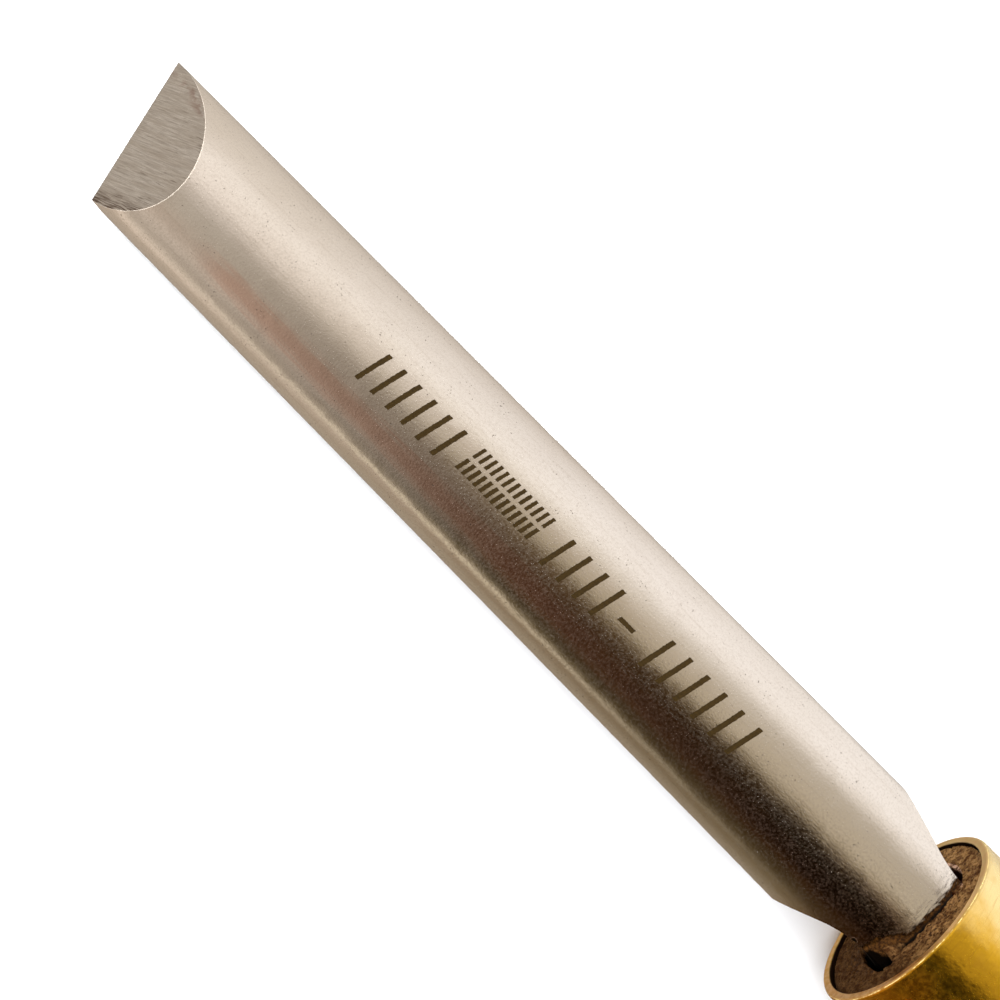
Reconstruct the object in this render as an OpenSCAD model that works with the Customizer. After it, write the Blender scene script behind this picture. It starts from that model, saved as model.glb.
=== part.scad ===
// Oval-section skew chisel with a brass ferrule and a turned wooden handle.
// The origin is the centre of the ferrule's mouth. +X runs along the blade to the cutting edge,
// +Y points to the edge's heel (its rear corner) and +Z through the bar's thickness.

/* [Blade] */
// Width of the oval bar
bar_w = 13; // [10:0.1:15.8]
// Thickness of the oval bar
bar_t = 6.4; // [5:0.1:8]
// From the ferrule's mouth to the middle of the cutting edge
reach = 85.8; // [50:0.1:150]
// Slant of the cutting edge from square
skew_angle = 16.5; // [0:0.5:35]
// Angle of each bevel to the middle plane, square to the edge
bevel_angle = 23; // [16:0.5:35]
// Angle of the shoulders to the axis
shoulder_angle = 22.5; // [18:0.5:35]

/* [Tang] */
// Width of the tang where it enters the handle
tang_w = 8.5; // [7:0.1:9.5]
// Where the tang's sides start to run parallel, ahead of the ferrule's mouth
tang_start = -0.3; // [-0.5:0.1:3]
// Radius that blends each shoulder into the tang
root_r = 10; // [4:0.5:12]
// Length of the tang inside the handle
tang_len = 50; // [40:1:80]
// Length of the tang's parallel part
tang_parallel = 10; // [5:1:20]
// Width of the tang's end
tang_end_w = 4.6; // [3:0.1:6]
// Thickness of the tang's end
tang_end_t = 3; // [2:0.1:4.5]

/* [Hand grinding] */
// How far the blade sits off the handle's axis, towards the toe
blade_shift = 0.34; // [0:0.02:0.6]
// Twist of the cutting edge against the bar's flat
edge_twist = 3; // [0:0.5:6]
// Height of the cutting edge above the middle plane
edge_rise = 0.27; // [0:0.01:0.6]
// How much steeper the heel's shoulder is than the toe's
shoulder_uneven = 4; // [0:0.5:8]
// How much further forward the heel's shoulder ends than the toe's
shoulder_stagger = 1.9; // [0:0.1:2]

/* [Ferrule] */
// Outer diameter of the ferrule
ferrule_d = 16.45; // [16:0.05:20]
// Wall of the ferrule
ferrule_wall = 0.75; // [0.6:0.05:1.2]
// Length of the ferrule
ferrule_len = 22; // [15:0.1:35]
// Rounding of the ferrule's rims
lip_r = 0.25; // [0.1:0.05:0.3]

/* [Handle] */
// Length of the handle behind the ferrule
handle_len = 190; // [135:1:300]
// Largest diameter of the handle
belly_d = 30; // [24:0.5:36]
// From the ferrule's back to the middle of the belly
belly_at = 74; // [50:1:80]
// Diameter of the bead against the ferrule
bead_d = 21.5; // [20.5:0.5:24]
// Length of the bead
bead_len = 6; // [4:0.5:8]
// Diameter of the throat behind the bead
throat_d = 18.6; // [17:0.1:20]
// Diameter of the waist ahead of the knob
waist_d = 22.5; // [18:0.5:24]
// From the waist to the knob's crown
waist_len = 20; // [10:1:25]
// Diameter of the knob's crown
knob_d = 25; // [24:0.5:28]
// Length of the knob's rounded end
knob_len = 15; // [10:1:18]

/* [Fits] */
// Radial gap between the handle's tenon and the ferrule (0 is a press fit)
tenon_gap = 0; // [0:0.01:0.05]
// Bevel on the tenon's rim
tenon_bevel = 0.3; // [0.1:0.1:0.5]
// Depth of the wooden end face inside the ferrule's mouth
wood_recess = 0.45; // [0.2:0.05:1]
// Depth of the bedding's face inside the ferrule's mouth
bedding_recess = 0.3; // [0.1:0.05:1]
// Thinnest layer of bedding, at the tang's corners
bedding_min = 0.35; // [0.2:0.05:0.5]
// Depth of the bore beyond the end of the tang
bore_spare = 3; // [1:0.5:6]

/* [Hidden] */
$fn = 96;

curve_steps = 16;                        // pieces in each long curve
corner_steps = 4;                        // pieces in each small rounding
far = 2 * (reach + tang_len);            // longer than the whole blade

ferrule_r = ferrule_d / 2;
socket_r = ferrule_r - ferrule_wall;     // inside of the ferrule
tenon_r = socket_r - tenon_gap;

// The tang's corner is where its side meets the oval, so the bore is sized from it.
tang_corner_z = bar_t / 2 * sqrt(1 - pow(tang_w / bar_w, 2));
bore_r = norm([tang_w / 2 + blade_shift, tang_corner_z]) + bedding_min;
bore_end = -tang_len - bore_spare;

// The two shoulders: slope, and the place where the tang's side starts to run parallel
heel_angle = shoulder_angle + shoulder_uneven / 2;
toe_angle = shoulder_angle - shoulder_uneven / 2;
heel_root = tang_start + shoulder_stagger / 2;
toe_root = tang_start - shoulder_stagger / 2;
tang_taper_x = toe_root - tang_parallel;

// Places along the handle, from the ferrule to the knob
ferrule_back = -ferrule_len;
bead_crown = ferrule_back - bead_len / 2;
bead_back = ferrule_back - bead_len;
belly_x = ferrule_back - belly_at;
handle_back = ferrule_back - handle_len;
knob_x = handle_back + knob_len;
waist_x = knob_x + waist_len;

// Points on a circular arc about a centre
function arc(centre, radius, from, to, steps) =
    [for (i = [0:steps])
        let (angle = from + (to - from) * i / steps)
        centre + radius * [cos(angle), sin(angle)]];

// Quarter ellipse that leaves start square to the axis and comes to end level with it.
// This and the next two leave out their first point, so that they can be joined end to end.
function rise(start, end) =
    [for (i = [1:curve_steps])
        let (angle = 90 * i / curve_steps)
        [end[0] + (start[0] - end[0]) * cos(angle), start[1] + (end[1] - start[1]) * sin(angle)]];

// Quarter ellipse that leaves start level with the axis and comes to end square to it
function fall(start, end) =
    [for (i = [1:curve_steps])
        let (angle = 90 * i / curve_steps)
        [start[0] + (end[0] - start[0]) * sin(angle), end[1] + (start[1] - end[1]) * cos(angle)]];

// Smooth S-curve that is level with the axis at both ends
function swell(start, end) =
    let (level = [(end[0] - start[0]) * 0.4, 0])
    [for (i = [1:curve_steps])
        let (t = i / curve_steps)
        pow(1 - t, 3) * start + 3 * t * pow(1 - t, 2) * (start + level)
        + 3 * t * t * (1 - t) * (end - level) + pow(t, 3) * end];

function mirrored(points) = [for (i = [len(points) - 1:-1:0]) [points[i][0], -points[i][1]]];

// One side of the blade seen from above, from the open front to the tang's end, with y positive.
// The shoulder slopes down at angle and a blend takes it into the tang's side at root.
function blade_side(root, angle) =
    let (blend_end = root + root_r * sin(angle),
         blend_y = tang_w / 2 + root_r * (1 - cos(angle)))
    concat(
        [[far, bar_w], [blend_end + (bar_w - blend_y) / tan(angle), bar_w]],
        arc([root, tang_w / 2 + root_r], root_r, angle - 90, -90, curve_steps),
        [[tang_taper_x, tang_w / 2], [-tang_len, tang_end_w / 2]]);

// The blade seen from above, without its bevels
module blade_outline() {
    polygon(concat(blade_side(heel_root, heel_angle), mirrored(blade_side(toe_root, toe_angle))));
}

// The blade seen from the side: full thickness, then the tang thins to its end
module blade_thickness() {
    upper = [[far, bar_t], [tang_taper_x, bar_t], [tang_taper_x, bar_t / 2],
             [-tang_len, tang_end_t / 2]];
    polygon(concat(upper, mirrored(upper)));
}

module oval_bar() {
    rotate([0, 90, 0])
        translate([0, 0, -tang_len - 1])
            linear_extrude(tang_len + reach + bar_w)
                scale([bar_t / 2, bar_w / 2])
                    circle(r = 1);
}

// Everything above one bevel's plane, with the cutting edge along Y
module above_bevel() {
    rotate([0, bevel_angle, 0])
        translate([-far / 2, -far / 2, 0])
            cube(far);
}

module ground_away() {
    translate([reach, 0, edge_rise])
        rotate([edge_twist, 0, 0])
            rotate([0, 0, skew_angle]) {
                above_bevel();
                mirror([0, 0, 1]) above_bevel();
            }
}

module blade_solid() {
    translate([0, -blade_shift, 0])
        difference() {
            intersection() {
                oval_bar();
                translate([0, 0, -bar_t])
                    linear_extrude(2 * bar_t)
                        blade_outline();
                rotate([90, 0, 0])
                    translate([0, 0, -bar_w])
                        linear_extrude(2 * bar_w)
                            blade_thickness();
            }
            ground_away();
        }
}

// Turns a profile of [x, radius] points about the X axis
module turned(profile) {
    rotate([0, 90, 0])
        rotate_extrude()
            polygon([for (point = profile) [point[1], point[0]]]);
}

// Round rod along X between two places
module rod(from, to, radius) {
    translate([from, 0, 0])
        rotate([0, 90, 0])
            cylinder(h = to - from, r = radius);
}

module blade() {
    color([0.78, 0.74, 0.68])
        blade_solid();
}

module ferrule() {
    color([0.83, 0.65, 0.22])
        difference() {
            turned(concat(
                [[ferrule_back, 0]],
                arc([ferrule_back + lip_r, ferrule_r - lip_r], lip_r, 180, 90, corner_steps),
                arc([-lip_r, ferrule_r - lip_r], lip_r, 90, 0, corner_steps),
                [[0, 0]]));
            rod(ferrule_back - 1, 1, socket_r);
        }
}

module handle() {
    color([0.55, 0.36, 0.2])
        difference() {
            turned(concat(
                [[-wood_recess, 0],
                 [-wood_recess, tenon_r - tenon_bevel],
                 [-wood_recess - tenon_bevel, tenon_r],
                 [ferrule_back, tenon_r],
                 [ferrule_back, ferrule_r]],
                rise([ferrule_back, ferrule_r], [bead_crown, bead_d / 2]),
                fall([bead_crown, bead_d / 2], [bead_back, throat_d / 2]),
                swell([bead_back, throat_d / 2], [belly_x, belly_d / 2]),
                swell([belly_x, belly_d / 2], [waist_x, waist_d / 2]),
                swell([waist_x, waist_d / 2], [knob_x, knob_d / 2]),
                fall([knob_x, knob_d / 2], [handle_back, 0])));
            rod(bore_end, 1, bore_r);
        }
}

module bedding() {
    color([0.33, 0.24, 0.18])
        difference() {
            rod(bore_end, -bedding_recess, bore_r);
            blade_solid();
        }
}

blade();
ferrule();
handle();
bedding();
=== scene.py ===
"""Looks of an oval-section skew chisel, built round its CAD model: the steel blade, the brass
ferrule, the turned handle and the bedding that holds the tang, on a pale floor under soft
studio light. Named lengths are in millimetres unless they say otherwise. Everything that is
made is in metres."""

import math

import bpy
from mathutils import Matrix, Vector, noise


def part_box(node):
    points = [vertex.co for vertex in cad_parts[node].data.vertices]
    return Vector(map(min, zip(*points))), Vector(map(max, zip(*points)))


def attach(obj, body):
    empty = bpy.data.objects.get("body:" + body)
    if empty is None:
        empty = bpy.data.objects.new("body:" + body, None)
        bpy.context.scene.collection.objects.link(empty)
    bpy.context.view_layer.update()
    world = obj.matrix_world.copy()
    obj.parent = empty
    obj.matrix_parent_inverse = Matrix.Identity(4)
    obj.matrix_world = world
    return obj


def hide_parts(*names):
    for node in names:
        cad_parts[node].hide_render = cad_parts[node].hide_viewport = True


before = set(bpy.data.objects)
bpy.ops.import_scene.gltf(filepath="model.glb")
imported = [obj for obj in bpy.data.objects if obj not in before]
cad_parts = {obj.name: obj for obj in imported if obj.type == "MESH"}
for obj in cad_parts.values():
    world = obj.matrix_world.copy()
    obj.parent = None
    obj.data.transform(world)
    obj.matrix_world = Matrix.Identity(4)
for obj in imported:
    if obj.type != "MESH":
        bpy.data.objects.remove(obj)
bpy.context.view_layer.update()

MM = 0.001
ROUND = 288                     # points round each turned piece

# The cutting edge, the tang and the tenon, as the CAD source has them. Angles are in degrees.
EDGE_X, EDGE_RISE, EDGE_TWIST, SKEW, BEVEL = 85.8, 0.27, 3.0, 16.5, 23.0
TANG_HALF_W, TANG_TAPER_X, TANG_END_HALF_W, TANG_END_HALF_T = 4.25, -11.25, 2.3, 1.5
TENON_BEVEL = 0.3

FIT = 0.005                     # how far a new mesh stays clear of the piece round it
OVERLAP = 0.02                  # how far the bedding's edge dips into the tang
SWELL = 0.18                    # how far the end grain has swollen since it was cut
LIP = 0.26                      # rounding of the ferrule's rims
CORNER_STEPS = 6
END_FACE_STEPS, FERRULE_STEPS, BEDDING_STEPS = 18, 62, 26
HANDLE_STEP = 1.1               # between rings along the handle

# Voids left in the bedding: middle (y, z), half sizes and depth
VOIDS = [((4.05, 1.2), (0.44, 2.6), 2.4), ((3.5, 3.2), (0.5, 0.75), 1.2),
         ((4.25, -4.25), (0.26, 0.7), 1.6), ((-4.8, 1.0), (0.42, 2.3), 1.2)]

# Slanted bars where such a tool carries its marks. Each group has its start, the number of bars,
# their pitch and stroke along the blade, and the lowest and highest y.
BAR_SLANT = 12                  # degrees
BAR_BLUR = 0.03
BAR_GROUPS = [(49.2, 6, 1.65, 0.42, -2.05, 1.05), (39.8, 13, 0.62, 0.3, -2.15, -1.05),
              (39.8, 13, 0.62, 0.34, -0.7, 0.45), (32.2, 4, 1.75, 0.42, -2.05, 1.05),
              (29.4, 1, 2.0, 1.5, -0.55, -0.2), (17.9, 6, 1.8, 0.42, -2.05, 1.05)]
FLECK = (2.1, 4.0, 2.38)        # a dark fleck on the heel's shoulder

# ---------------------------------------------------------------- places, from the frame


def place(node, corner, axis):
    """One side of a CAD node's box in millimetres: corner 0 is the lowest, 1 the highest."""
    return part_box(node)[corner]["xyz".index(axis)] / MM


def ring_radii(node):
    """{x: largest radius} of a turned CAD node, from its own vertices, in millimetres."""
    found = {}
    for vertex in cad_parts[node].data.vertices:
        x = round(vertex.co.x / MM, 2)
        radius = math.hypot(vertex.co.y, vertex.co.z) / MM
        found[x] = max(radius, found.get(x, 0.0))
    return found


bar_half_w = (place("blade", 1, "y") - place("blade", 0, "y")) / 2
bar_half_t = place("blade", 1, "z")
blade_y = (place("blade", 1, "y") + place("blade", 0, "y")) / 2
tang_end = place("blade", 0, "x")
ferrule_back = place("ferrule", 0, "x")
ferrule_r = place("ferrule", 1, "y")
handle_back = place("handle", 0, "x")
handle_rings = ring_radii("handle")
wood_face = place("handle", 1, "x") + SWELL
tenon_r = handle_rings[round(place("handle", 1, "x") - TENON_BEVEL, 2)]
bore_r = place("bedding", 1, "y")
bore_end = place("bedding", 0, "x")

# ---------------------------------------------------------------- meshes


def skin(name, loops, body="root", closed=False, sharp=32):
    """Mesh over a row of loops, each of ROUND points or one point, in millimetres."""
    verts, faces, starts = [], [], []
    for loop in loops:
        starts.append(len(verts))
        verts += [tuple(c * MM for c in point) for point in loop]
    pairs = list(zip(range(len(loops)), range(1, len(loops))))
    if closed:
        pairs.append((len(loops) - 1, 0))
    for a, b in pairs:
        for i in range(ROUND):
            j = (i + 1) % ROUND
            quad = [starts[a] + i % len(loops[a]), starts[a] + j % len(loops[a]),
                    starts[b] + j % len(loops[b]), starts[b] + i % len(loops[b])]
            faces.append(list(dict.fromkeys(quad)))
    mesh = bpy.data.meshes.new(name)
    mesh.from_pydata(verts, [], faces)
    mesh.validate()
    mesh.polygons.foreach_set("use_smooth", [True] * len(mesh.polygons))
    mesh.set_sharp_from_angle(angle=math.radians(sharp))
    obj = bpy.data.objects.new(name, mesh)
    bpy.context.scene.collection.objects.link(obj)
    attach(obj, body)
    return obj


def circle(x, radius, change=None):
    """ROUND points on a circle about the X axis; change(x, y, z) returns (dx, dr)."""
    points = []
    for i in range(ROUND):
        angle = 2 * math.pi * i / ROUND
        y, z = radius * math.cos(angle), radius * math.sin(angle)
        dx, dr = change(x, y, z) if change else (0.0, 0.0)
        grown = 1 + dr / radius
        points.append((x + dx, y * grown, z * grown))
    return points


def fuzz(x, y, z, size, seed=0):
    """Smooth noise from -1 to 1 with features of this size in millimetres."""
    return noise.noise(Vector((x / size + 17.3 * seed, y / size - 9.1 * seed,
                               z / size + 4.7 * seed)))


def ease(value, start, end):
    """0 at start, 1 at end, smooth between."""
    t = min(1.0, max(0.0, (value - start) / (end - start)))
    return t * t * (3 - 2 * t)


def smooth_rings(rings, step):
    """Catmull-Rom points through rings, a list of (x, radius) in order."""
    out = [rings[0]]
    for i in range(len(rings) - 1):
        p0, p1, p2, p3 = (Vector(rings[max(0, min(len(rings) - 1, k))])
                          for k in (i - 1, i, i + 1, i + 2))
        count = max(1, round((p2 - p1).length / step))
        for k in range(1, count + 1):
            t = k / count
            out.append(tuple(0.5 * ((2 * p1) + (p2 - p0) * t
                                    + (2 * p0 - 5 * p1 + 4 * p2 - p3) * t * t
                                    + (3 * p1 - p0 - 3 * p2 + p3) * t ** 3)))
    return out


def face_relief(y, z):
    """Porous roughness of the sawn end grain, in millimetres along X."""
    pores = max(0.0, fuzz(0, y, z, 0.22, 3) - 0.18) * 0.35
    return 0.05 * fuzz(0, y, z, 0.7, 1) + 0.035 * fuzz(0, y, z, 0.3, 2) - pores


def ripple(x, y, z):
    """Faint tool marks along the turned handle."""
    return 0.0, -0.02 + 0.02 * fuzz(x, y * 0.12, z * 0.12, 3.0, 5)


def end_face(x, y, z):
    """Swollen end grain: its broken rim is narrow towards the toe and wide towards the heel."""
    reach = ease(math.hypot(y, z), tenon_r - 1.2, tenon_r - 0.3)
    return min(0.0, face_relief(y, z)), 0.2 * reach * ease(y, 1.0, -4.0)


# The handle: its bore and end face, the tenon inside the ferrule, then the CAD's own outline
inner_r, outer_r = bore_r + FIT, tenon_r - TENON_BEVEL
handle_loops = [[(bore_end, 0.0, 0.0)], circle(bore_end, inner_r),
                circle(wood_face - 0.6, inner_r)]
for k in range(END_FACE_STEPS + 1):
    radius = inner_r + (outer_r - inner_r) * k / END_FACE_STEPS
    handle_loops.append(circle(wood_face, radius, end_face))
handle_loops += [circle(wood_face - 0.3, tenon_r - 2 * FIT),
                 circle(ferrule_back, tenon_r - 2 * FIT),
                 circle(ferrule_back - FIT, ferrule_r - 0.02)]
outline = sorted(((x, r) for x, r in handle_rings.items()
                  if x < ferrule_back - 0.01 and r > bore_r + 1), reverse=True)
for x, radius in smooth_rings(outline, HANDLE_STEP):
    handle_loops.append(circle(x, radius, ripple))
handle_loops.append([(handle_back, 0.0, 0.0)])
handle = skin("turned_handle", handle_loops)
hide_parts("handle")


# The ferrule: a drawn brass tube with rounded rims, faint turning lines and small knocks
def knocks(x, y, z):
    """Turning lines and shallow dents on the ferrule's side."""
    lines = 0.004 * fuzz(x, 0, 0, 0.35, 7)
    dent = -0.05 * max(0.0, fuzz(x, y, z, 3.2, 8) - 0.45)
    return 0.0, lines - 0.004 + dent


def rim_wobble(x, y, z):
    """Uneven inner edge of the front rim."""
    return -0.02 + 0.02 * fuzz(x, y, z, 1.6, 9), 0.02 * fuzz(x, y, z, 1.1, 10)


def lip_wear(x, y, z):
    """Wear of the front lip."""
    return -0.01, -0.012 + 0.012 * fuzz(x, y, z, 1.4, 11)


wall_in = tenon_r + FIT
ferrule_loops = [circle(ferrule_back + 0.05, wall_in), circle(-2.0, wall_in),
                 circle(-0.5, wall_in), circle(-0.1, wall_in, rim_wobble),
                 circle(-0.01, wall_in + 0.09, rim_wobble),
                 circle(0.0, ferrule_r - LIP - 0.05, rim_wobble)]
corner = [math.radians(90 * k / CORNER_STEPS) for k in range(CORNER_STEPS + 1)]
for turn in corner:
    ferrule_loops.append(circle(-LIP + LIP * math.cos(turn),
                                ferrule_r - LIP + LIP * math.sin(turn), lip_wear))
for k in range(1, FERRULE_STEPS):
    ferrule_loops.append(circle(-LIP + (ferrule_back + 2 * LIP) * k / FERRULE_STEPS,
                                ferrule_r, knocks))
for turn in reversed(corner):
    ferrule_loops.append(circle(ferrule_back + LIP - LIP * math.cos(turn),
                                ferrule_r - LIP + LIP * math.sin(turn)))
ferrule = skin("brass_ferrule", ferrule_loops, closed=True)
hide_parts("ferrule")


# The bedding: fills the bore round the tang, level with the wood at its rim, lumpy at the steel
def tang_outline(x, spare=0.0):
    """ROUND points on the tang's outline at x, seen along the axis, grown by spare."""
    along = max(0.0, (TANG_TAPER_X - x) / (TANG_TAPER_X - tang_end))
    half_w = TANG_HALF_W + (TANG_END_HALF_W - TANG_HALF_W) * along + spare
    half_t = bar_half_t + (TANG_END_HALF_T - bar_half_t) * along + spare
    points = []
    for i in range(ROUND):
        angle = 2 * math.pi * i / ROUND
        c, s = math.cos(angle), math.sin(angle)
        oval = 1 / math.hypot(c / (bar_half_w + spare), s / (bar_half_t + spare))
        reach = min(oval, half_w / max(abs(c), 1e-6), half_t / max(abs(s), 1e-6))
        points.append((x, blade_y + reach * c, reach * s))
    return points


def bore_point(i):
    """Where the ray from the tang's middle at step i meets the bore's wall: (y, z)."""
    angle = 2 * math.pi * i / ROUND
    c, s = math.cos(angle), math.sin(angle)
    reach = -blade_y * c + math.sqrt((blade_y * c) ** 2 + bore_r ** 2 - blade_y ** 2)
    return blade_y + reach * c, reach * s


def bedding_face(y, z, from_steel, from_wood):
    """x of the bedding's face, and how hollow it is there from 0 to 1.
    The last two inputs are the distances to the tang and to the bore's wall."""
    level = wood_face + min(0.0, face_relief(y, z))
    heel = ease(y, 0.8, 2.8) * ease(z, -3.0, 0.5)
    climb = ((0.15 + 0.5 * heel) * (1 - ease(from_steel, 0.05, 0.55))
             * ease(from_wood, 0.0, 0.3))
    broken = 0.35 + 0.65 * ease(fuzz(0, y, z, 1.1, 22), -0.3, 0.1)
    crack = ((1 - ease(from_steel, 0.3, 0.75)) * (1 - heel) * ease(z, 1.0, 2.4) * broken
             * ease(from_wood, 0.0, 0.2))
    lumps = 0.09 * fuzz(0, y, z, 0.5, 21) * ease(from_wood, 0.0, 0.5)
    wander = 0.3 * fuzz(0, y, z, 0.8, 23)
    inside, depth = max(
        (1 - ease(math.hypot((y - vy) / ry, (z - vz) / rz) + wander, 0.75, 1.1), depth)
        for (vy, vz), (ry, rz), depth in VOIDS)
    return (level + climb + lumps - max(0.7 * crack, depth * inside),
            max(0.55 * crack, inside))


tang_ring = tang_outline(-1.0, -OVERLAP)
bore_ring = [bore_point(i) for i in range(ROUND)]
bedding_loops = [[(bore_end, 0.0, 0.0)], [(bore_end, y, z) for y, z in bore_ring]]
hollows = [0.0] * (1 + ROUND)
for k in range(BEDDING_STEPS + 1):
    loop = []
    for i in range(ROUND):
        start, end = Vector(bore_ring[i]), Vector(tang_ring[i][1:])
        width = (end - start).length
        spot = start.lerp(end, k / BEDDING_STEPS)
        here = width * k / BEDDING_STEPS
        x, inside = bedding_face(spot.x, spot.y, width - here, here)
        loop.append((x, spot.x, spot.y))
        hollows.append(inside)
    bedding_loops.append(loop)
bedding_loops += [tang_outline(x, OVERLAP) for x in (-4.0, TANG_TAPER_X, tang_end)]
bedding_loops.append([(tang_end - OVERLAP, blade_y, 0.0)])
bedding = skin("bedding_adhesive", bedding_loops)
hollow = bedding.data.attributes.new("hollow", "FLOAT", "POINT")
for item, value in zip(hollow.data, hollows):
    item.value = value
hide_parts("bedding")

# ---------------------------------------------------------------- materials


def tone(red, green, blue):
    """Linear colour of an 8-bit sRGB tone."""
    return tuple((c / 255 / 12.92) if c <= 10 else ((c / 255 + 0.055) / 1.055) ** 2.4
                 for c in (red, green, blue)) + (1.0,)


class Graph:
    """Short calls that add nodes to a shader tree. Each returns an output socket."""

    def __init__(self, tree):
        self.tree = tree
        tree.nodes.clear()

    def node(self, kind, inputs=(), **settings):
        """The new node itself. inputs are values or sockets, by name or number."""
        made = self.tree.nodes.new("ShaderNode" + kind)
        for key, value in settings.items():
            setattr(made, key, value)
        for key, value in dict(inputs).items():
            if isinstance(value, bpy.types.NodeSocket):
                self.tree.links.new(value, made.inputs[key])
            else:
                made.inputs[key].default_value = value
        return made

    def math(self, operation, *values):
        return self.node("Math", dict(enumerate(values)), operation=operation).outputs[0]

    def chain(self, operation, values):
        total = values[0]
        for value in values[1:]:
            total = self.math(operation, total, value)
        return total

    def plus(self, *values):
        return self.chain("ADD", values)

    def minus(self, first, second):
        return self.math("SUBTRACT", first, second)

    def times(self, *values):
        return self.chain("MULTIPLY", values)

    def over(self, first, second):
        return self.math("DIVIDE", first, second)

    def most(self, *values):
        return self.chain("MAXIMUM", values)

    def smooth(self, value, start, end, low=0.0, high=1.0, curve="SMOOTHSTEP"):
        """low where value is at start, high where it is at end, eased between and held beyond."""
        return self.node("MapRange", {"Value": value, "From Min": start, "From Max": end,
                                      "To Min": low, "To Max": high},
                         interpolation_type=curve).outputs[0]

    def straight(self, value, start, end, low=0.0, high=1.0):
        return self.smooth(value, start, end, low, high, "LINEAR")

    def mix(self, factor, first, second):
        return self.node("Mix", {0: factor, 6: first, 7: second}, data_type="RGBA").outputs[2]

    def tint(self, colour, new, *masks):
        """colour turned into new as far as the product of the masks says."""
        return self.mix(self.times(*masks), colour, new)

    def millimetres(self):
        """The point in the object's own frame, as a vector and as x, y, z."""
        here = self.node("TexCoord").outputs["Object"]
        point = self.node("VectorMath", {0: here, "Scale": 1 / MM}, operation="SCALE").outputs[0]
        return point, *self.node("SeparateXYZ", {0: point}).outputs

    def stretched(self, x, y, z):
        return self.node("CombineXYZ", {0: x, 1: y, 2: z}).outputs[0]

    def along(self, point, direction):
        return self.node("VectorMath", {0: point, 1: direction},
                         operation="DOT_PRODUCT").outputs["Value"]

    def distance(self, point, other):
        return self.node("VectorMath", {0: point, 1: other}, operation="DISTANCE").outputs["Value"]

    def noise(self, vector, size, detail=2.0, rough=0.5):
        return self.node("TexNoise", {"Vector": vector, "Scale": 1 / size, "Detail": detail,
                                      "Roughness": rough}).outputs["Fac"]

    def cells(self, vector, size):
        """Distance to the nearest of scattered points, and a random number for each."""
        made = self.node("TexVoronoi", {"Vector": vector, "Scale": 1 / size})
        chance = self.node("SeparateColor", {0: made.outputs["Color"]}).outputs[0]
        return made.outputs["Distance"], chance

    def bump(self, height, depth, under=None):
        """A normal for height, where 1 is depth in millimetres, on top of the normal under it."""
        links = {"Height": height, "Distance": depth * MM, "Strength": 1.0}
        if under:
            links["Normal"] = under
        return self.node("Bump", links).outputs[0]

    def ramp(self, value, stops):
        made = self.node("ValToRGB", {0: value})
        ends = made.color_ramp.elements
        while len(ends) > 1:
            ends.remove(ends[-1])
        ends[0].position, ends[0].color = stops[0]
        for position, colour in stops[1:]:
            ends.new(position).color = colour
        return made.outputs[0]


def material(name, **constants):
    """A new material, its Graph, and a call that links a socket of its Principled shader.
    The constants are set on the shader's own sockets."""
    made = bpy.data.materials.new(name)
    made.use_nodes = True
    graph = Graph(made.node_tree)
    shader = graph.node("BsdfPrincipled",
                        {key.replace("_", " "): value for key, value in constants.items()})
    out = graph.node("OutputMaterial", {"Surface": shader.outputs[0]})
    out.is_active_output = True
    return made, graph, lambda socket, value: graph.tree.links.new(value, shader.inputs[socket])


def dress(obj, made):
    """Give an object this one material, in the slots that it already has."""
    if not obj.material_slots:
        obj.data.materials.append(made)
    for slot in obj.material_slots:
        slot.material = made


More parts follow.
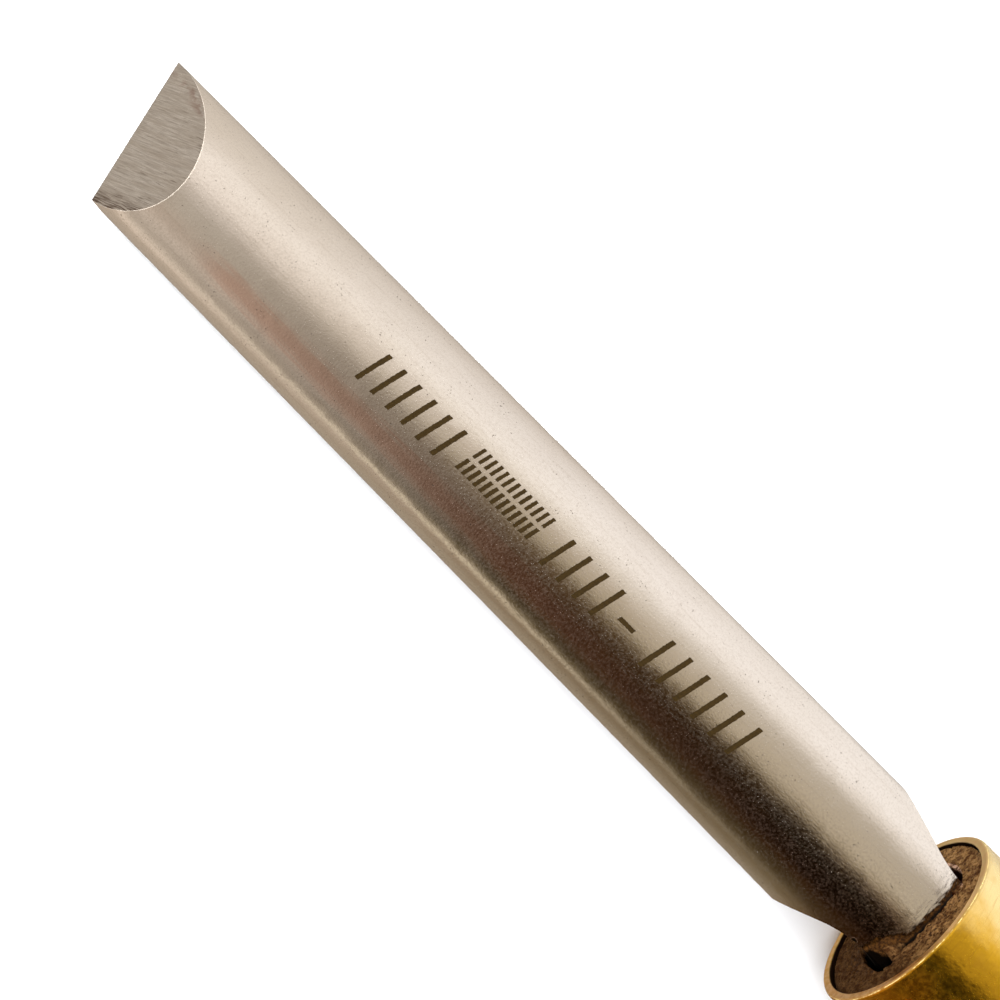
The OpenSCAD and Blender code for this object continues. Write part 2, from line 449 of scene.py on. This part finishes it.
def steel_material():
    made, g, feed = material("satin_high_speed_steel")
    point, x, y, z = g.millimetres()

    # The two bevel planes. Distance is 0 on a bevel and below 0 on the bar behind it.
    turn = (Matrix.Rotation(math.radians(EDGE_TWIST), 3, "X")
            @ Matrix.Rotation(math.radians(SKEW), 3, "Z"))
    edge_point = Vector((EDGE_X, blade_y, EDGE_RISE))
    tilt = math.radians(BEVEL)
    depth = []
    for side in (1, -1):
        normal = turn @ Vector((math.sin(tilt), 0, side * math.cos(tilt)))
        depth.append(g.minus(g.along(point, normal), normal.dot(edge_point)))
    nearest = g.most(*depth)
    on_bevel = g.smooth(nearest, -0.012, -0.006)
    on_bar = g.minus(1.0, on_bevel)
    along_edge = g.along(point, turn @ Vector((0, 1, 0)))
    up_bevel = g.along(point, turn @ Vector((1, 0, 0)))
    ragged = g.noise(g.stretched(along_edge, g.times(up_bevel, 0.1), 5.0), 0.16)
    # Painted highlight: a pale, less metallic line along the top side of the bevel's border
    border_highlight = g.times(g.smooth(g.plus(nearest, g.times(ragged, 0.06)), -0.012, 0.002),
                        on_bar, g.smooth(z, -0.5, 0.5), 0.6)
    # How far inside the bar's oval a point is: 0 on the bar's own surface
    off_y = g.over(g.minus(y, blade_y), bar_half_w)
    off_z = g.over(z, bar_half_t)
    inside_oval = g.minus(1.0, g.plus(g.times(off_y, off_y), g.times(off_z, off_z)))

    # Bar: fine satin grain, faint lengthwise polishing lines, slow colour drift, small pits
    grain = g.noise(point, 0.2, 2.0, 0.7)
    specks = g.smooth(g.noise(point, 0.2, 3.0, 0.75), 0.42, 0.74)
    lengthwise = g.noise(g.stretched(g.times(x, 0.05), y, z), 0.22, 3.0)
    drift = g.noise(point, 9.0)
    pits = g.times(g.smooth(g.noise(point, 0.17, 1.0), 0.69, 0.75),
                   g.smooth(g.noise(point, 1.6, 3.0), 0.47, 0.6))
    bar = g.mix(drift, tone(228, 220, 211), tone(235, 228, 221))
    bar = g.tint(bar, tone(120, 98, 76), specks, 0.14)
    bar = g.tint(bar, tone(150, 128, 104), g.smooth(lengthwise, 0.5, 0.8, 0.0, 0.12))
    # A straw-red temper streak along the heel side, and brown rust near the handle
    across = g.plus(y, g.times(g.minus(lengthwise, 0.5), 1.6))
    temper = g.times(g.smooth(across, 1.5, 2.5), g.smooth(across, 4.1, 3.0),
                     g.smooth(x, 75.0, 70.0))
    bar = g.tint(bar, tone(224, 190, 174), temper, 0.65)
    rust = g.times(g.smooth(x, 10.0, 0.5), g.smooth(y, -0.8, 1.6),
                   g.smooth(drift, 0.3, 0.6, 0.5, 1.0))
    bar = g.tint(bar, tone(190, 140, 96), rust, 0.75)
    bar = g.tint(bar, tone(70, 55, 42), pits, 0.75)

    # Bevels: ground across the edge, a few deep scratches, a burn at the heel, a stain at the toe
    ground = g.noise(g.stretched(along_edge, g.times(up_bevel, 0.06), 0.0), 0.12, 4.0, 0.7)
    patches = g.noise(point, 0.9, 4.0, 0.6)
    bend = g.plus(along_edge, g.times(patches, 0.16))
    coarse = g.noise(g.stretched(bend, g.times(up_bevel, 0.08), 3.0), 0.15, 2.0, 0.6)
    scratch = g.times(g.smooth(coarse, 0.57, 0.68), g.smooth(g.noise(point, 2.0), 0.45, 0.55),
                      g.smooth(inside_oval, 0.9, 0.2, 0.45, 1.0))
    near_border = g.smooth(g.plus(inside_oval, g.times(coarse, 0.3)), 0.62, 0.16)
    heel_burn = g.times(near_border, g.smooth(y, 2.8, 4.6), g.smooth(coarse, 0.42, 0.56))
    toe_stain = g.times(near_border, g.smooth(y, -4.5, -5.0), g.smooth(y, -6.2, -5.8),
                        g.smooth(patches, 0.42, 0.6))
    broad = g.noise(g.stretched(bend, g.times(up_bevel, 0.12), 1.0), 0.55)
    face = g.mix(g.smooth(ground, 0.3, 0.7), tone(184, 175, 166), tone(232, 224, 215))
    face = g.tint(face, tone(188, 176, 163), g.smooth(broad, 0.35, 0.65, 0.0, 0.4))
    face = g.tint(face, tone(96, 76, 60), scratch, 0.6)
    face = g.tint(face, tone(84, 58, 40), heel_burn, 0.85)
    face = g.tint(face, tone(140, 94, 78), toe_stain, 0.6)

    # The etched bars
    wander = g.times(g.minus(g.noise(point, 0.18), 0.5), 0.12)
    slant = g.minus(g.plus(x, wander), g.times(y, math.tan(math.radians(BAR_SLANT))))
    edge_y = g.plus(y, wander)

    def within(value, low, high):
        return g.times(g.smooth(value, low - BAR_BLUR, low + BAR_BLUR),
                       g.smooth(value, high + BAR_BLUR, high - BAR_BLUR))

    def bars(start, count, pitch, stroke, low, high):
        """A mask of count slanted bars from start towards the tip."""
        cell = g.math("FRACT", g.over(g.minus(slant, start), pitch))
        blur, duty = BAR_BLUR / pitch, stroke / pitch
        stripe = g.times(g.smooth(cell, duty + blur, duty - blur), g.smooth(cell, -blur, blur))
        end = start + count * pitch - pitch + stroke + 0.1
        return g.times(stripe, within(slant, start, end), within(edge_y, low, high))

    marks = g.times(g.most(*[bars(*group) for group in BAR_GROUPS]), g.smooth(z, 0.0, 0.5),
                    g.smooth(g.noise(point, 0.16), 0.25, 0.42, 0.72, 1.0))

    # Brown residue where the blade enters the bedding, higher towards the heel, where painted
    # shade darkens it further
    streak = g.noise(g.stretched(g.times(x, 1.6), g.times(y, 0.35), z), 0.3, 4.0, 0.65)
    climb = g.smooth(y, 0.3, 3.0, -0.75, 0.7)
    residue = g.smooth(g.minus(x, g.plus(climb, g.times(streak, 1.1))), 0.5, -0.5)
    smear = g.times(g.smooth(x, 1.5, -0.2), g.smooth(streak, 0.42, 0.64), 0.24)
    residue = g.most(residue, smear)
    fleck = g.smooth(g.plus(g.distance(point, FLECK), g.times(patches, 0.4)), 0.5, 0.34)
    dirt = g.most(residue, fleck)
    # The steel is black in the fleck, and painted black as shade where a void in the bedding bares
    # it
    void_edge = g.plus(g.minus(y, g.times(x, 0.4)), g.times(patches, 0.8))
    void_shade_and_fleck = g.most(g.times(g.smooth(void_edge, 3.5, 3.7), g.smooth(x, 1.1, 0.8)), fleck)

    # A stain darkens the steel before it hides its shine, so colour leads and Metallic follows
    etched = g.mix(grain, tone(22, 14, 2), tone(58, 43, 15))
    brown = g.smooth(g.noise(point, 0.22, 3.0, 0.7), 0.38, 0.66)
    stain = g.mix(brown, tone(34, 17, 5), tone(84, 54, 22))
    # Painted shade: near black where a void bares the steel and below the bedding's face, and
    # black in the fleck
    stain = g.tint(stain, tone(8, 5, 3), g.most(void_shade_and_fleck, g.smooth(x, -0.3, -0.5)))
    colour = g.mix(on_bevel, bar, face)
    # Painted highlight along the bevel's border
    colour = g.tint(colour, tone(236, 226, 214), border_highlight)
    colour = g.tint(colour, etched, g.smooth(marks, 0.0, 0.5))
    feed("Base Color", g.tint(colour, stain, g.smooth(dirt, 0.0, 0.4)))

    dull = g.most(marks, dirt)
    shine = g.times(g.smooth(g.most(dull, border_highlight), 0.25, 0.95, 1.0, 0.1),
                    g.minus(1.0, void_shade_and_fleck))
    feed("Metallic", g.minus(shine, g.times(specks, on_bar, 0.02)))
    feed("Specular IOR Level", g.straight(void_shade_and_fleck, 0.0, 1.0, 0.15, 0.0))
    rough = g.plus(g.smooth(grain, 0.3, 0.7, 0.12, 0.24), g.times(dull, 0.45))
    feed("Roughness", g.plus(rough, g.times(on_bevel, g.smooth(ground, 0.3, 0.7, 0.22, 0.1))))

    satin = g.plus(g.times(grain, on_bar), g.times(lengthwise, 0.3))
    relief = g.bump(g.minus(satin, g.times(pits, 0.4)), 0.0075)
    cut = g.minus(g.times(ground, on_bevel), g.times(scratch, on_bevel, 0.8))
    relief = g.bump(cut, 0.007, relief)
    feed("Normal", g.bump(g.times(streak, residue), 0.02, relief))
    return made


def brass_material():
    made, g, feed = material("worn_brass")
    point, x, y, z = g.millimetres()
    radius = g.math("SQRT", g.plus(g.times(y, y), g.times(z, z)))
    lines = g.noise(g.stretched(x, g.times(y, 0.06), g.times(z, 0.06)), 0.12, 3.0)
    cloud = g.noise(point, 3.0, 4.0, 0.6)
    speck_distance, speck_chance = g.cells(point, 1.3)
    speck_r = g.times(g.math("POWER", speck_chance, 5.0), 0.1)
    specks = g.smooth(g.minus(speck_distance, speck_r), 0.02, -0.02)
    # Handled brass: pale and polished on the toe side, where the pale colour is also a painted
    # highlight; deeper gold and tarnished at the heel
    polish_and_highlight = g.smooth(g.plus(y, g.times(cloud, 5.0)), 1.0, -3.2)
    colour = g.mix(polish_and_highlight, tone(230, 180, 46), tone(252, 228, 164))
    colour = g.tint(colour, tone(214, 164, 60), g.smooth(cloud, 0.5, 0.75), 0.4)
    tarnish = g.smooth(g.plus(y, g.times(g.minus(cloud, 0.5), 9.0)), -0.5, 4.5)
    tarnish = g.times(tarnish, g.smooth(z, -5.0, 1.0, 0.25, 1.0))
    colour = g.tint(colour, tone(196, 120, 20), tarnish, 0.8)
    colour = g.tint(colour, tone(190, 140, 50), g.smooth(lines, 0.5, 0.75), 0.25)
    colour = g.tint(colour, tone(90, 60, 24), specks, 0.7)
    inside = g.smooth(g.minus(radius, tenon_r), 0.12, 0.02)
    front = g.times(g.smooth(x, -0.2, -0.04),
                    g.smooth(radius, ferrule_r - 0.02, ferrule_r - 0.2))
    colour = g.tint(colour, tone(252, 210, 150), front,
                    g.smooth(g.noise(point, 0.5, 3.0), 0.3, 0.7, 0.35, 0.8))
    # A painted highlight along the crest of the front lip, where across_lip is 0
    across_lip = g.minus(g.plus(x, LIP), g.minus(radius, ferrule_r - LIP))
    lip_highlight = g.times(g.smooth(g.math("ABSOLUTE", across_lip), 0.07, 0.01),
                    g.smooth(x, -LIP, -LIP + 0.05),
                    g.smooth(g.noise(point, 0.6, 3.0, 0.7), 0.38, 0.56, 0.15, 1.0))
    colour = g.tint(colour, tone(255, 226, 150), lip_highlight)
    feed("Base Color", g.tint(colour, tone(22, 12, 6), inside))
    # The inside is dull and dark, so that it mirrors nothing
    feed("Specular IOR Level", g.straight(inside, 0.0, 1.0, 0.5, 0.0))
    film = g.times(g.plus(tarnish, 0.15),
                   g.smooth(g.noise(point, 0.3, 3.0, 0.7), 0.35, 0.7, 0.02, 0.1))
    bright = g.times(g.smooth(lip_highlight, 0.0, 1.0, 1.0, 0.4), g.minus(1.0, inside))
    feed("Metallic", g.minus(bright, film))
    rough = g.plus(g.smooth(cloud, 0.3, 0.7, 0.2, 0.34), g.times(front, 0.1))
    feed("Roughness", g.plus(rough, g.times(inside, 0.6)))
    relief = g.bump(lines, 0.004)
    relief = g.bump(g.noise(point, 2.6, 3.0), 0.1, relief)
    feed("Normal", g.bump(g.noise(point, 0.35), 0.012, relief))
    return made


def wood_material():
    made, g, feed = material("waxed_ash", Coat_Roughness=0.25)
    point, x, y, z = g.millimetres()
    # Growth rings are tilted sheets that the turned surface cuts through
    bend = g.times(g.noise(g.stretched(g.times(x, 0.06), y, z), 9.0), 9.0)
    sheet = g.plus(g.plus(z, g.times(x, 0.035)), bend)
    ring = g.math("FRACT", g.over(sheet, 1.7))
    late = g.times(g.smooth(ring, 0.25, 0.94), g.smooth(ring, 1.0, 0.95))
    fibre = g.noise(g.stretched(g.times(x, 0.03), y, z), 0.16, 3.0, 0.6)
    pores = g.smooth(g.noise(g.stretched(g.times(x, 0.045), y, z), 0.2, 1.0), 0.62, 0.72)
    pores = g.times(pores, g.smooth(ring, 0.75, 0.15, 1.0, 0.25))
    drift = g.noise(g.stretched(g.times(x, 0.1), y, z), 6.0, 3.0)
    colour = g.mix(drift, tone(172, 124, 80), tone(190, 144, 98))
    colour = g.tint(colour, tone(132, 86, 50), late, 0.6)
    colour = g.tint(colour, tone(142, 98, 60), g.smooth(fibre, 0.35, 0.7), 0.45)
    colour = g.tint(colour, tone(78, 48, 28), pores, 0.8)
    # Grubby where a hand holds it, and behind the ferrule
    grip = g.times(g.smooth(x, -170.0, -110.0), g.smooth(x, -60.0, -90.0))
    worn = g.most(g.smooth(x, -36.0, -24.0), grip)
    colour = g.tint(colour, tone(104, 68, 42), g.smooth(g.noise(point, 16.0, 5.0, 0.6), 0.3, 0.7),
                    g.plus(0.2, g.times(worn, 0.25)))
    # The sawn end inside the ferrule is dark and open
    end = g.smooth(x, wood_face - 1.2, wood_face - 0.7)
    mottle = g.noise(point, 0.55, 4.0, 0.65)
    end_pores = g.smooth(g.noise(point, 0.2), 0.52, 0.66)
    end_colour = g.mix(g.smooth(mottle, 0.35, 0.65), tone(74, 46, 22), tone(150, 113, 70))
    end_colour = g.tint(end_colour, tone(30, 14, 5), end_pores, 0.8)
    # Painted shade: the end grain is darker towards the heel side
    end_colour = g.tint(end_colour, tone(46, 24, 7), g.smooth(y, -1.0, 4.5, 0.0, 0.75))
    feed("Base Color", g.mix(end, colour, end_colour))
    feed("Specular IOR Level", g.straight(end, 0.0, 1.0, 0.3, 0.02))
    feed("Coat Weight", g.straight(end, 0.0, 1.0, 0.2, 0.0))
    feed("Roughness", g.plus(g.smooth(fibre, 0.3, 0.7, 0.34, 0.48), g.times(end, 0.4)))
    relief = g.bump(g.minus(g.times(fibre, 0.4), pores), 0.03)
    feed("Normal", g.bump(g.times(g.noise(point, 0.25, 4.0), end), 0.12, relief))
    return made


def bedding_material():
    made, g, feed = material("old_bedding_resin", Specular_IOR_Level=0.03)
    point, x, y, _ = g.millimetres()
    mottle = g.noise(point, 0.5, 4.0, 0.65)
    colour = g.mix(g.smooth(mottle, 0.35, 0.65), tone(74, 46, 22), tone(152, 114, 72))
    colour = g.tint(colour, tone(30, 14, 5), g.smooth(g.noise(point, 0.26, 3.0), 0.5, 0.62), 0.8)
    # Painted shade: darker towards the heel side
    colour = g.tint(colour, tone(46, 24, 7), g.smooth(y, -1.0, 4.5, 0.0, 0.75))
    # Paler, pinker lumps squeezed out beside the toe
    colour = g.tint(colour, tone(188, 152, 130), g.smooth(y, -4.0, -4.9),
                    g.smooth(mottle, 0.38, 0.56), 0.85)
    hollow = g.node("Attribute", attribute_name="hollow").outputs["Fac"]
    # Painted shade: near black in the voids, the cracks and below the wood's face, redder towards
    # the toe
    hollow_shade = g.most(g.smooth(hollow, 0.03, 0.3),
                  g.smooth(x, wood_face - 0.15, wood_face - 0.42))
    hollow_shade_tone = g.mix(g.smooth(y, 0.0, -4.0), tone(5, 3, 2), tone(44, 10, 2))
    feed("Base Color", g.tint(colour, hollow_shade_tone, hollow_shade))
    feed("Roughness", g.smooth(mottle, 0.3, 0.7, 0.6, 0.85))
    feed("Normal", g.bump(g.noise(point, 0.22, 4.0), 0.07))
    return made


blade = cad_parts["blade"]
dress(blade, steel_material())
dress(ferrule, brass_material())
dress(handle, wood_material())
dress(bedding, bedding_material())
# The tang is too dull to mirror the mouth round it, so these stay out of mirror rays
for piece in (ferrule, handle, bedding):
    piece.visible_glossy = False

# ---------------------------------------------------------------- floor and backdrop


def resting_tilt(passes=6):
    """Slope of the floor that touches the blade and the handle, and its height at x = 0,
    in metres."""
    slope = 0.0
    for _ in range(passes):
        down = Vector((slope, 0, -1))
        front = max((v.co for v in blade.data.vertices), key=lambda c: c.dot(down))
        back = max((v.co for v in handle.data.vertices if v.co.x < ferrule_back * MM),
                   key=lambda c: c.dot(down))
        slope = (front.z - back.z) / (front.x - back.x)
    return slope, front.z - slope * front.x


slope, floor_z = resting_tilt()
stage_tilt = Matrix.Translation((0, 0, floor_z)) @ Matrix.Rotation(-math.atan(slope), 4, "Y")
STAGE_R, STAGE_RINGS, STAGE_SIDES = 2.4, 24, 96        # the radius is in metres


def stage_mesh(name, rings):
    """A surface of revolution for the stage, from (radius, height) in metres, standing on the
    resting plane."""
    verts = [(r * math.cos(a), r * math.sin(a), h) for r, h in rings
             for a in (2 * math.pi * k / STAGE_SIDES for k in range(STAGE_SIDES))]
    faces = [(i * STAGE_SIDES + k, i * STAGE_SIDES + (k + 1) % STAGE_SIDES,
              (i + 1) * STAGE_SIDES + (k + 1) % STAGE_SIDES, (i + 1) * STAGE_SIDES + k)
             for i in range(len(rings) - 1) for k in range(STAGE_SIDES)]
    mesh = bpy.data.meshes.new(name)
    mesh.from_pydata(verts, [], faces)
    mesh.transform(stage_tilt)
    mesh.polygons.foreach_set("use_smooth", [True] * len(mesh.polygons))
    obj = bpy.data.objects.new(name, mesh)
    bpy.context.scene.collection.objects.link(obj)
    return obj


floor = stage_mesh("studio_floor", [(STAGE_R * 1.05 * k / STAGE_RINGS + 0.0001, 0.0)
                                    for k in range(STAGE_RINGS + 1)])
dome = stage_mesh("studio_backdrop", [(STAGE_R * math.cos(math.radians(a)),
                                       STAGE_R * math.sin(math.radians(a)) - 0.02)
                                      for a in range(0, 90, 5)])

# White paper that glows far from the tool, where the softbox fades, to meet the backdrop
GLOW_FROM, GLOW_TO = 450.0, 900.0
paper, g, feed = material("white_paper", Roughness=0.9)
point, *_ = g.millimetres()
feed("Base Color", g.mix(g.noise(point, 30.0), tone(234, 239, 246), tone(240, 243, 248)))
feed("Emission Color", g.mix(g.noise(point, 90.0), tone(252, 252, 252), tone(255, 255, 255)))
feed("Emission Strength", g.smooth(g.math("SQRT", g.along(point, point)), GLOW_FROM, GLOW_TO))
dress(floor, paper)
glow = bpy.data.materials.new("backdrop_glow")
glow.use_nodes = True
g = Graph(glow.node_tree)
white = g.node("Emission", {"Color": (1, 1, 1, 1), "Strength": 1.0}).outputs[0]
g.node("OutputMaterial", {"Surface": white})
dress(dome, glow)
floor.visible_glossy = False
for ray in ("diffuse", "glossy", "transmission", "shadow"):
    setattr(dome, "visible_" + ray, False)

# ---------------------------------------------------------------- light

# The studio round the tool, as tones by angle about the X axis: 0 is straight up, 90 towards +Y,
# -90 towards -Y. One list each for light from above the handle, overhead and beyond the tip.
ABOVE_HANDLE = [(-180, 148, 136, 120), (-110, 240, 237, 234), (-48, 242, 238, 234),
                (-37, 224, 217, 208), (-28, 172, 162, 146), (-4, 178, 166, 144),
                (1, 136, 122, 98), (7, 42, 28, 12), (14, 16, 8, 2), (30, 12, 5, 1),
                (42, 48, 31, 12), (58, 66, 53, 32), (70, 88, 74, 52), (78, 100, 86, 62),
                (107, 128, 116, 96), (180, 148, 136, 120)]
OVERHEAD = [(-180, 148, 136, 120), (-110, 208, 201, 194), (-60, 236, 232, 229),
            (-34, 247, 243, 239), (-24, 230, 223, 212), (-14, 178, 165, 148),
            (-3, 158, 146, 122), (4, 90, 72, 46), (14, 70, 48, 26), (32, 72, 50, 33),
            (41, 80, 58, 38), (48, 48, 38, 20), (57, 80, 69, 47), (63, 106, 92, 68),
            (70, 216, 204, 178), (78, 132, 114, 92), (107, 150, 138, 118),
            (180, 148, 136, 120)]
BEYOND_TIP = [(-180, 158, 148, 136), (-110, 198, 190, 180), (-60, 210, 202, 191),
              (-42, 218, 210, 200), (-26, 242, 236, 229), (-10, 237, 229, 221),
              (0, 194, 185, 176), (7, 178, 170, 158), (16, 180, 171, 158),
              (30, 178, 164, 150), (42, 200, 188, 175), (58, 172, 161, 148),
              (72, 206, 194, 180), (82, 214, 200, 185), (94, 180, 167, 152),
              (180, 158, 148, 136)]
LEVEL_AHEAD = (184, 178, 170)   # low light from ahead, which the bevel mirrors
SKY_STRENGTH = 1.27

world = bpy.data.worlds.new("studio")
bpy.context.scene.world = world
world.use_nodes = True
g = Graph(world.node_tree)
sky_x, sky_y, sky_z = g.node("SeparateXYZ", {0: g.node("TexCoord").outputs["Generated"]}).outputs
turn = g.straight(g.math("ARCTAN2", sky_y, sky_z), -math.pi, math.pi)
skies = [g.ramp(turn, [((angle + 180) / 360, tone(*rgb)) for angle, *rgb in stops])
         for stops in (ABOVE_HANDLE, OVERHEAD, BEYOND_TIP)]
sky = g.mix(g.math("POWER", g.straight(sky_x, -0.3, 0.05), 1.3), skies[0], skies[1])
sky = g.mix(g.straight(sky_x, 0.05, 0.42), sky, skies[2])
sky = g.mix(g.straight(sky_x, 0.55, 0.9), sky, tone(*LEVEL_AHEAD))
light = g.node("Background", {"Color": sky, "Strength": SKY_STRENGTH}).outputs[0]
g.node("OutputWorld", {"Surface": light})


def softbox(name, spot, size, watts):
    """A square area light, in metres, that faces the tool. It lights floor and wood without a
    highlight."""
    data = bpy.data.lights.new(name, "AREA")
    data.shape, data.size, data.energy = "SQUARE", size, watts
    obj = bpy.data.objects.new(name, data)
    obj.location = spot
    obj.rotation_mode = "QUATERNION"
    obj.rotation_quaternion = (-Vector(spot)).to_track_quat("-Z", "Y")
    obj.visible_glossy = False
    bpy.context.scene.collection.objects.link(obj)


softbox("overhead_softbox", (0.05, -0.08, 0.8), 0.8, 16.0)

# ---------------------------------------------------------------- camera

CAMERA_AT = Vector((35.70, 4.658, 96.16)) * MM
LEAN, PITCH, ROLL = 3.0, 4.752, 134.639        # degrees about X, then Y, then the line of sight
FIELD_OF_VIEW = 44.09                          # degrees
data = bpy.data.cameras.new("camera")
data.sensor_width = 36.0
data.angle = math.radians(FIELD_OF_VIEW)
data.clip_start, data.clip_end = 0.005, 20.0
camera = bpy.data.objects.new("camera", data)
view_turn = (Matrix.Rotation(math.radians(ROLL), 4, "Z")
             @ Matrix.Rotation(math.radians(PITCH), 4, "Y")
             @ Matrix.Rotation(math.radians(LEAN), 4, "X"))
camera.matrix_world = Matrix.Translation(CAMERA_AT) @ view_turn.inverted()
bpy.context.scene.collection.objects.link(camera)
bpy.context.scene.camera = camera
bpy.context.scene.view_settings.view_transform = "Standard"
